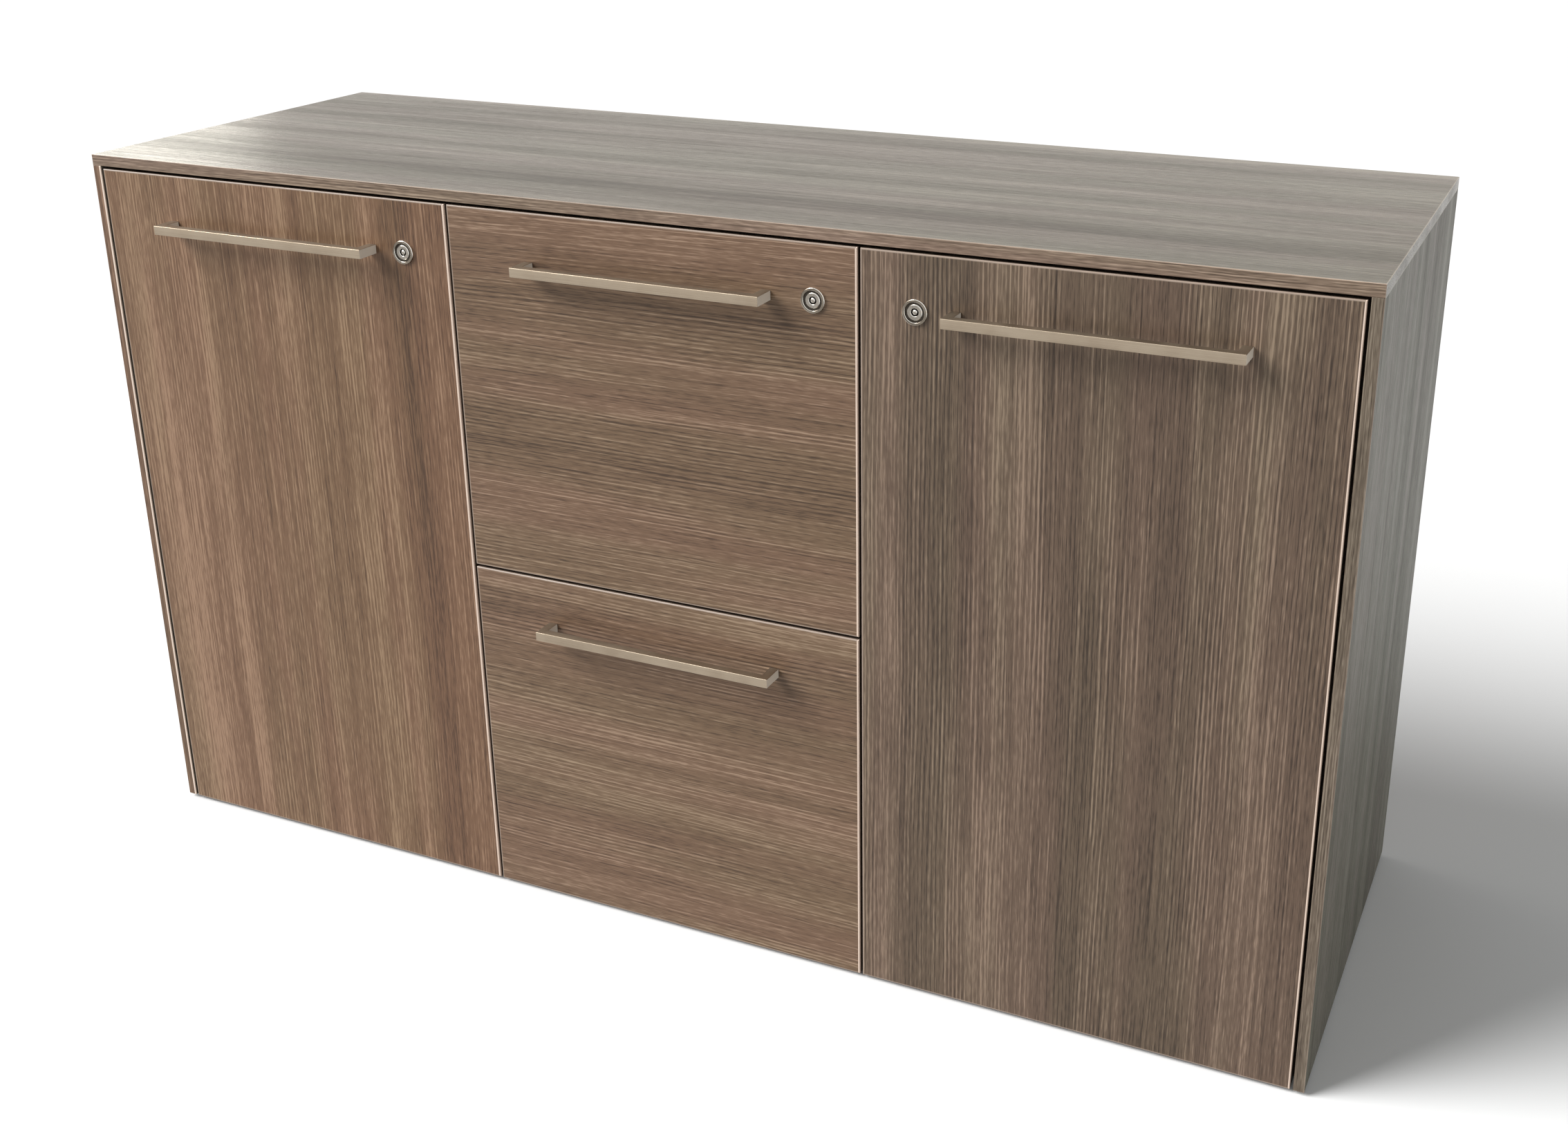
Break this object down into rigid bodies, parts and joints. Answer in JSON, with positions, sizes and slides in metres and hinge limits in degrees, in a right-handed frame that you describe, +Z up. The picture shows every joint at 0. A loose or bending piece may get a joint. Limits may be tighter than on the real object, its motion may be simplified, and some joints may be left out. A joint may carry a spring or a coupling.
{
  "type": "office credenza",
  "caption": "Low office credenza: lockable hinged doors beside stacked file drawers in a slim laminate shell, with square bar handles and levelling glides.",
  "frame": {"origin": "middle of the base of the bounding box, on the floor under the levelling glides", "axes": "+X to the right as seen from the front, +Y to the rear, +Z up; the doors and drawers face -Y"},
  "size_m": [1.29, 0.455, 0.75],
  "materials": {
    "grained_laminate": "satin grey-brown laminate with a fine straight grain",
    "edge_band": "satin pinkish-beige edge band",
    "carcass_board": "matt laminated board",
    "drawer_board": "matt wrapped board",
    "satin_nickel": "satin nickel",
    "bright_nickel": "bright nickel plating",
    "zinc_steel": "bright zinc plating",
    "painted_rail": "satin black paint",
    "black_plastic": "matt moulded plastic"
  },
  "bodies": {
    "case": {"top_panel": "grained_laminate", "end_panels": "grained_laminate", "shell_edge_bands": "edge_band", "left_gable": "carcass_board", "right_gable": "carcass_board", "left_partition": "carcass_board", "right_partition": "carcass_board", "bottom_panel": "carcass_board", "back_panel": "carcass_board", "stretchers": "carcass_board", "shelves": "carcass_board", "shelf_pins": "bright_nickel", "lock_strikes": "zinc_steel", "hinge_plates": "bright_nickel", "hinge_arms": "bright_nickel", "cabinet_channels": "zinc_steel", "glide_inserts": "zinc_steel", "back_panel_screws": "zinc_steel"},
    "left_door": {"left_door_leaf": "grained_laminate", "left_door_edge_band": "edge_band", "left_door_handle": "satin_nickel", "left_door_hinge_cups": "bright_nickel", "left_door_lock_housing": "bright_nickel", "left_door_screws": "zinc_steel"},
    "left_outer_links": {"left_door_outer_links": "bright_nickel"},
    "left_inner_links": {"left_door_inner_links": "bright_nickel"},
    "left_lock": {"left_door_lock_barrel": "bright_nickel"},
    "right_door": {"right_door_leaf": "grained_laminate", "right_door_edge_band": "edge_band", "right_door_handle": "satin_nickel", "right_door_hinge_cups": "bright_nickel", "right_door_lock_housing": "bright_nickel", "right_door_screws": "zinc_steel"},
    "right_outer_links": {"right_door_outer_links": "bright_nickel"},
    "right_inner_links": {"right_door_inner_links": "bright_nickel"},
    "right_lock": {"right_door_lock_barrel": "bright_nickel"},
    "upper_drawer": {"upper_drawer_front": "grained_laminate", "upper_drawer_edge_band": "edge_band", "upper_drawer_handle": "satin_nickel", "upper_drawer_screws": "zinc_steel", "upper_drawer_walls": "drawer_board", "upper_drawer_bottom": "drawer_board", "upper_drawer_file_rails": "painted_rail", "upper_drawer_channels": "zinc_steel", "upper_drawer_lock_housing": "bright_nickel"},
    "upper_slides": {"upper_slide_middles": "zinc_steel"},
    "lower_drawer": {"lower_drawer_front": "grained_laminate", "lower_drawer_edge_band": "edge_band", "lower_drawer_handle": "satin_nickel", "lower_drawer_screws": "zinc_steel", "lower_drawer_walls": "drawer_board", "lower_drawer_bottom": "drawer_board", "lower_drawer_file_rails": "painted_rail", "lower_drawer_channels": "zinc_steel"},
    "lower_slides": {"lower_slide_middles": "zinc_steel"},
    "drawer_lock": {"upper_drawer_lock_barrel": "bright_nickel"},
    "front_left_foot": {"front_left_glide": "black_plastic"},
    "front_right_foot": {"front_right_glide": "black_plastic"},
    "rear_left_foot": {"rear_left_glide": "black_plastic"},
    "rear_right_foot": {"rear_right_glide": "black_plastic"}
  },
  "joints": [
    {"name": "left_door_swing", "type": "hinge", "parent": "case", "child": "left_door", "pos_m": [-0.62541, -0.19678, 0.37], "axis": [0, 0, -1], "range_deg": [0, 100]},
    {"name": "left_outer_link_swing", "type": "hinge", "parent": "case", "child": "left_outer_links", "pos_m": [-0.5971, -0.1762, 0.37], "axis": [0, 0, -1], "range_deg": [-38, 0]},
    {"name": "left_inner_link_swing", "type": "hinge", "parent": "case", "child": "left_inner_links", "pos_m": [-0.599, -0.1927, 0.37], "axis": [0, 0, -1], "range_deg": [-44, 0]},
    {"name": "left_lock_turn", "type": "hinge", "parent": "left_door", "child": "left_lock", "pos_m": [-0.26318, -0.2025, 0.6855], "axis": [0, 1, 0], "range_deg": [0, 90]},
    {"name": "right_door_swing", "type": "hinge", "parent": "case", "child": "right_door", "pos_m": [0.62541, -0.19678, 0.37], "axis": [0, 0, 1], "range_deg": [0, 100]},
    {"name": "right_outer_link_swing", "type": "hinge", "parent": "case", "child": "right_outer_links", "pos_m": [0.5971, -0.1762, 0.37], "axis": [0, 0, 1], "range_deg": [-38, 0]},
    {"name": "right_inner_link_swing", "type": "hinge", "parent": "case", "child": "right_inner_links", "pos_m": [0.599, -0.1927, 0.37], "axis": [0, 0, 1], "range_deg": [-44, 0]},
    {"name": "right_lock_turn", "type": "hinge", "parent": "right_door", "child": "right_lock", "pos_m": [0.26318, -0.2025, 0.6855], "axis": [0, -1, 0], "range_deg": [0, 90]},
    {"name": "upper_drawer_travel", "type": "slide", "parent": "case", "child": "upper_drawer", "axis": [0, -1, 0], "range_m": [0, 0.35]},
    {"name": "upper_slides_travel", "type": "slide", "parent": "case", "child": "upper_slides", "axis": [0, -1, 0], "range_m": [0, 0.175]},
    {"name": "lower_drawer_travel", "type": "slide", "parent": "case", "child": "lower_drawer", "axis": [0, -1, 0], "range_m": [0, 0.35]},
    {"name": "lower_slides_travel", "type": "slide", "parent": "case", "child": "lower_slides", "axis": [0, -1, 0], "range_m": [0, 0.175]},
    {"name": "drawer_lock_turn", "type": "hinge", "parent": "upper_drawer", "child": "drawer_lock", "pos_m": [0.16817, -0.2025, 0.6855], "axis": [0, 1, 0], "range_deg": [0, 90]},
    {"name": "front_left_glide_height", "type": "slide", "parent": "case", "child": "front_left_foot", "axis": [0, 0, -1], "range_m": [0, 0.012]},
    {"name": "front_right_glide_height", "type": "slide", "parent": "case", "child": "front_right_foot", "axis": [0, 0, -1], "range_m": [0, 0.012]},
    {"name": "rear_left_glide_height", "type": "slide", "parent": "case", "child": "rear_left_foot", "axis": [0, 0, -1], "range_m": [0, 0.012]},
    {"name": "rear_right_glide_height", "type": "slide", "parent": "case", "child": "rear_right_foot", "axis": [0, 0, -1], "range_m": [0, 0.012]}
  ],
  "couplings": [
    {"joint": "left_outer_link_swing", "follows": "left_door_swing", "ratio": -0.37},
    {"joint": "left_inner_link_swing", "follows": "left_door_swing", "ratio": -0.43},
    {"joint": "right_outer_link_swing", "follows": "right_door_swing", "ratio": -0.37},
    {"joint": "right_inner_link_swing", "follows": "right_door_swing", "ratio": -0.43},
    {"joint": "upper_slides_travel", "follows": "upper_drawer_travel", "ratio": 0.5},
    {"joint": "lower_slides_travel", "follows": "lower_drawer_travel", "ratio": 0.5}
  ]
}
